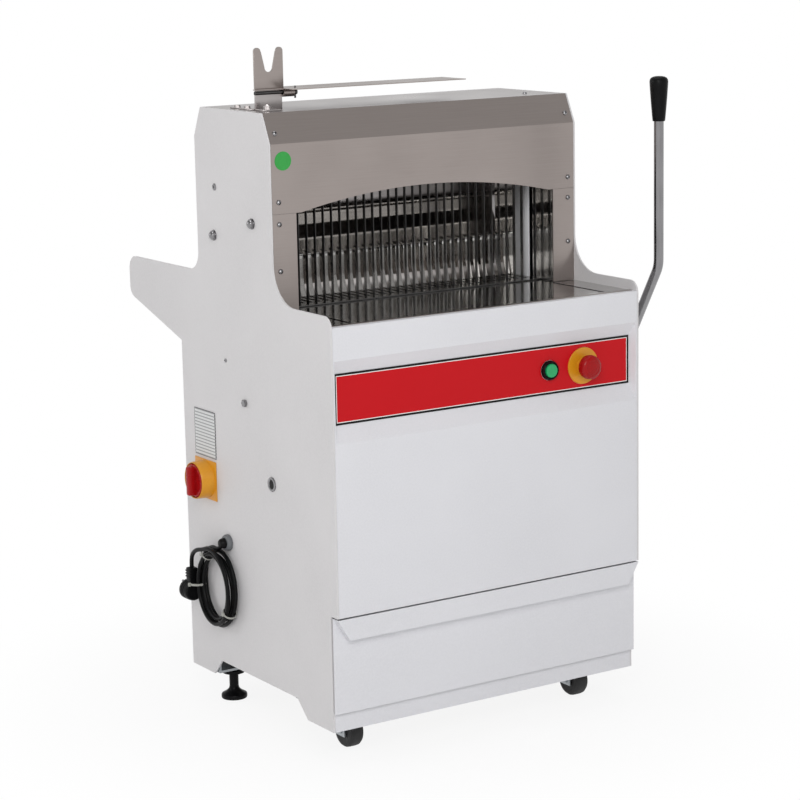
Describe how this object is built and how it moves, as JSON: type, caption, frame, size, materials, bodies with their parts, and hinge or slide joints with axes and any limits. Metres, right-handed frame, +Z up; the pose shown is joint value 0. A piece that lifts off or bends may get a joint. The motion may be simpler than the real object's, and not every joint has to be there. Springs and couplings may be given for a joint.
{
  "type": "bread slicer with crank lever",
  "caption": "Floor-standing bread slicer: hand lever pushes the loaf through reciprocating blades; crumb drawer, casters and bagging fork.",
  "frame": {"origin": "centre of the floor area under the machine, cord left out", "axes": "+X to the lever's side, +Y from the front to the outfeed, +Z up"},
  "size_m": [0.7049, 0.6936, 1.127],
  "materials": {
    "panel_paint": "powder-coated light grey",
    "cover_paint": "powder-coated pale grey",
    "red_strip": "red printed strip with dark border",
    "stainless": "brushed stainless steel",
    "polished_stainless": "polished stainless steel",
    "steel": "machined steel",
    "galvanised": "galvanised steel",
    "cast": "grey cast housing",
    "black_plastic": "black moulded plastic",
    "grey_plastic": "grey moulded plastic",
    "yellow_plastic": "yellow plastic",
    "red_plastic": "red moulded plastic",
    "green_plastic": "green moulded plastic",
    "green_film": "green adhesive film",
    "blank_label": "blank aluminium plate",
    "chrome": "chromed steel",
    "rubber": "black rubber",
    "cord_rubber": "black rubber sheath",
    "tie_plastic": "grey cable ties",
    "alloy": "turned aluminium"
  },
  "bodies": {
    "cabinet": {"side_panel_left": "panel_paint", "side_panel_right": "panel_paint", "front_cover": "cover_paint", "fascia_strip": "red_strip", "plinth": "cover_paint", "base_frame": "galvanised", "rear_panel": "panel_paint", "drive_deck": "galvanised", "hood": "stainless", "opening_flanges": "stainless", "top_cover": "panel_paint", "inner_walls": "polished_stainless", "flap_rod": "chrome", "bed_plate": "polished_stainless", "outfeed_table": "stainless", "guide_rods": "chrome", "frame_guides": "grey_plastic", "motor": "cast", "drive_belt": "rubber", "bearing_blocks": "cast", "fork_bracket": "galvanised", "rating_plate": "blank_label", "switch_plate": "yellow_plastic", "round_sticker": "green_film", "panel_screws": "chrome", "cable_gland": "grey_plastic", "cord_coil": "cord_rubber", "mains_cord": "cord_rubber", "mains_plug": "black_plastic", "cord_ties": "tie_plastic", "start_bezel": "chrome", "estop_ring": "yellow_plastic"},
    "drawer": {"drawer_front": "cover_paint", "drawer_pan": "stainless"},
    "lever": {"lever_shaft": "steel", "lever_rod": "chrome", "lever_knob": "black_plastic"},
    "pusher": {"pusher_comb": "polished_stainless", "carriage": "steel"},
    "frame_a": {"blade_frame_a": "steel", "blades_a": "steel"},
    "frame_b": {"blade_frame_b": "steel", "blades_b": "steel"},
    "crank": {"crankshaft": "steel", "crank_pulley": "alloy"},
    "rod_a": {"connecting_rod_a": "alloy"},
    "rod_b": {"connecting_rod_b": "alloy"},
    "motor_rotor": {"motor_pulley": "alloy"},
    "estop": {"estop_button": "red_plastic"},
    "start": {"start_button": "green_plastic"},
    "main_switch": {"switch_knob": "red_plastic"},
    "caster_left": {"caster_fork_left": "galvanised"},
    "caster_right": {"caster_fork_right": "galvanised"},
    "wheel_left": {"caster_wheel_left": "rubber"},
    "wheel_right": {"caster_wheel_right": "rubber"},
    "foot_left": {"levelling_foot_left": "black_plastic"},
    "foot_right": {"levelling_foot_right": "black_plastic"},
    "flap": {"rear_flap": "stainless"},
    "bag_fork": {"fork_plate": "stainless", "bagging_tray": "stainless"}
  },
  "joints": [
    {"name": "lever_swing", "type": "hinge", "parent": "cabinet", "child": "lever", "pos_m": [-0.01375, -0.1722, 0.45], "axis": [1, 0, 0], "range_deg": [0, 45.47]},
    {"name": "pusher_slide", "type": "slide", "parent": "cabinet", "child": "pusher", "axis": [0, -1, 0], "range_m": [0, 0.18]},
    {"name": "drawer_slide", "type": "slide", "parent": "cabinet", "child": "drawer", "axis": [0, -1, 0], "range_m": [0, 0.36]},
    {"name": "frame_a_slide", "type": "slide", "parent": "cabinet", "child": "frame_a", "axis": [0, 0, 1], "range_m": [-0.02, 0.02]},
    {"name": "frame_b_slide", "type": "slide", "parent": "cabinet", "child": "frame_b", "axis": [0, 0, 1], "range_m": [-0.02, 0.02]},
    {"name": "crank_spin", "type": "hinge", "parent": "cabinet", "child": "crank", "pos_m": [-0.01375, -0.0832, 0.33], "axis": [1, 0, 0], "continuous": true},
    {"name": "rod_a_pivot", "type": "hinge", "parent": "crank", "child": "rod_a", "pos_m": [-0.07375, -0.0632, 0.33], "axis": [1, 0, 0], "continuous": true},
    {"name": "rod_b_pivot", "type": "hinge", "parent": "crank", "child": "rod_b", "pos_m": [0.04625, -0.1032, 0.33], "axis": [1, 0, 0], "continuous": true},
    {"name": "motor_spin", "type": "hinge", "parent": "cabinet", "child": "motor_rotor", "pos_m": [0.11325, 0.0698, 0.33], "axis": [1, 0, 0], "continuous": true},
    {"name": "estop_press", "type": "slide", "parent": "cabinet", "child": "estop", "axis": [0, 1, 0], "range_m": [0, 0.004], "stiffness_N_per_m": 800},
    {"name": "start_press", "type": "slide", "parent": "cabinet", "child": "start", "axis": [0, 1, 0], "range_m": [0, 0.003], "stiffness_N_per_m": 400},
    {"name": "main_switch_turn", "type": "hinge", "parent": "cabinet", "child": "main_switch", "pos_m": [-0.33375, 0.0873, 0.398], "axis": [1, 0, 0], "range_deg": [0, 90]},
    {"name": "caster_left_swivel", "type": "hinge", "parent": "cabinet", "child": "caster_left", "pos_m": [-0.24225, -0.2192, 0.07], "axis": [0, 0, 1], "continuous": true},
    {"name": "caster_right_swivel", "type": "hinge", "parent": "cabinet", "child": "caster_right", "pos_m": [0.21475, -0.2192, 0.07], "axis": [0, 0, 1], "continuous": true},
    {"name": "wheel_left_spin", "type": "hinge", "parent": "caster_left", "child": "wheel_left", "pos_m": [-0.24225, -0.2392, 0.028], "axis": [1, 0, 0], "continuous": true},
    {"name": "wheel_right_spin", "type": "hinge", "parent": "caster_right", "child": "wheel_right", "pos_m": [0.21475, -0.2392, 0.028], "axis": [1, 0, 0], "continuous": true},
    {"name": "foot_left_turn", "type": "hinge", "parent": "cabinet", "child": "foot_left", "pos_m": [-0.26975, 0.0958, 0.03], "axis": [0, 0, 1], "continuous": true},
    {"name": "foot_right_turn", "type": "hinge", "parent": "cabinet", "child": "foot_right", "pos_m": [0.24225, 0.0958, 0.03], "axis": [0, 0, 1], "continuous": true},
    {"name": "flap_swing", "type": "hinge", "parent": "cabinet", "child": "flap", "pos_m": [-0.01375, 0.0718, 0.841], "axis": [1, 0, 0], "range_deg": [0, 55]},
    {"name": "bag_fork_tilt", "type": "hinge", "parent": "cabinet", "child": "bag_fork", "pos_m": [-0.26375, -0.0752, 1.053], "axis": [1, 0, 0], "range_deg": [-30, 30]}
  ],
  "couplings": [
    {"joint": "pusher_slide", "follows": "lever_swing", "m_per_rad": 0.2268},
    {"joint": "frame_b_slide", "follows": "frame_a_slide", "ratio": -1},
    {"joint": "rod_a_pivot", "follows": "crank_spin", "ratio": -1},
    {"joint": "rod_b_pivot", "follows": "crank_spin", "ratio": -1},
    {"joint": "motor_spin", "follows": "crank_spin", "ratio": 2.0625}
  ]
}
